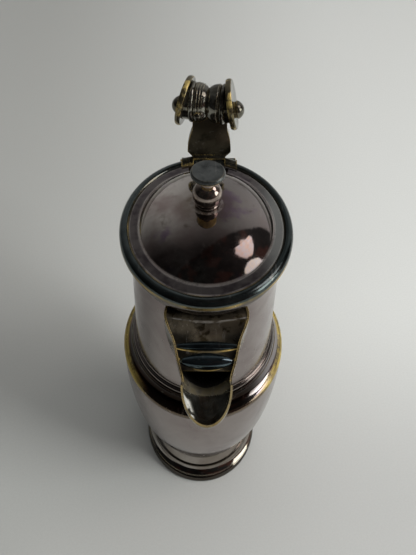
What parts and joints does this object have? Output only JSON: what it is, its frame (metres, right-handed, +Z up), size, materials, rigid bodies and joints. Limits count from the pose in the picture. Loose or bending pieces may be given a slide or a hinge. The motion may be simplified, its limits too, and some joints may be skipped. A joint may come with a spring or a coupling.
{
  "type": "barbers jug",
  "caption": "Tall oval metal shaving jug with a hooded beak spout, girdled belly, spread foot, scroll handle and a domed hinged lid with button finial and disc thumbpiece.",
  "frame": {"origin": "centre of the jug's footprint on the surface it stands on, on the axis of its oval body", "axes": "+Z up through the finial, the spout points along -Y, the handle and hinge are at +Y, +X is across"},
  "size_m": [0.084, 0.1818, 0.2139],
  "materials": {
    "polished_body": "polished silver plate with light tarnish",
    "lid_plate": "dark tarnished silver plate, glossy",
    "moulding": "dark tarnished silver plate, glossy",
    "worn_edge": "plate worn through to brass",
    "spout_plate": "brown and blue tarnished silver plate",
    "casting": "brown tarnished cast metal with brassy edges"
  },
  "bodies": {
    "body": {"foot_rim": "moulding", "foot_band": "moulding", "foot_cove": "moulding", "floor_plate": "polished_body", "belly_shell": "polished_body", "girdle_wire": "worn_edge", "shoulder_cove": "moulding", "neck_bead": "polished_body", "neck_tube": "polished_body", "mouth_band": "polished_body", "spout_throat": "spout_plate", "spout_lip": "spout_plate", "spout_hood": "spout_plate", "spout_rear_reed": "spout_plate", "spout_front_reed": "spout_plate", "hinge_block": "casting", "hinge_pin": "casting", "handle_scroll": "casting", "handle_pad": "casting", "handle_tail": "casting"},
    "lid": {"lid_dome": "lid_plate", "lid_moulding": "lid_plate", "lid_bezel": "lid_plate", "lid_leaf": "casting", "thumb_tongue": "casting", "thumb_spool": "casting", "thumb_disc_left": "casting", "thumb_disc_right": "casting", "thumb_boss_left": "casting", "thumb_boss_right": "casting", "scroll_bead": "casting", "finial_collar": "lid_plate", "finial_ball": "lid_plate", "finial_button": "lid_plate", "finial_nut": "lid_plate"}
  },
  "joints": [
    {"name": "lid_hinge", "type": "hinge", "parent": "body", "child": "lid", "pos_m": [0.0017, 0.0516, 0.1653], "axis": [-1, 0, 0], "range_deg": [0, 90]}
  ]
}
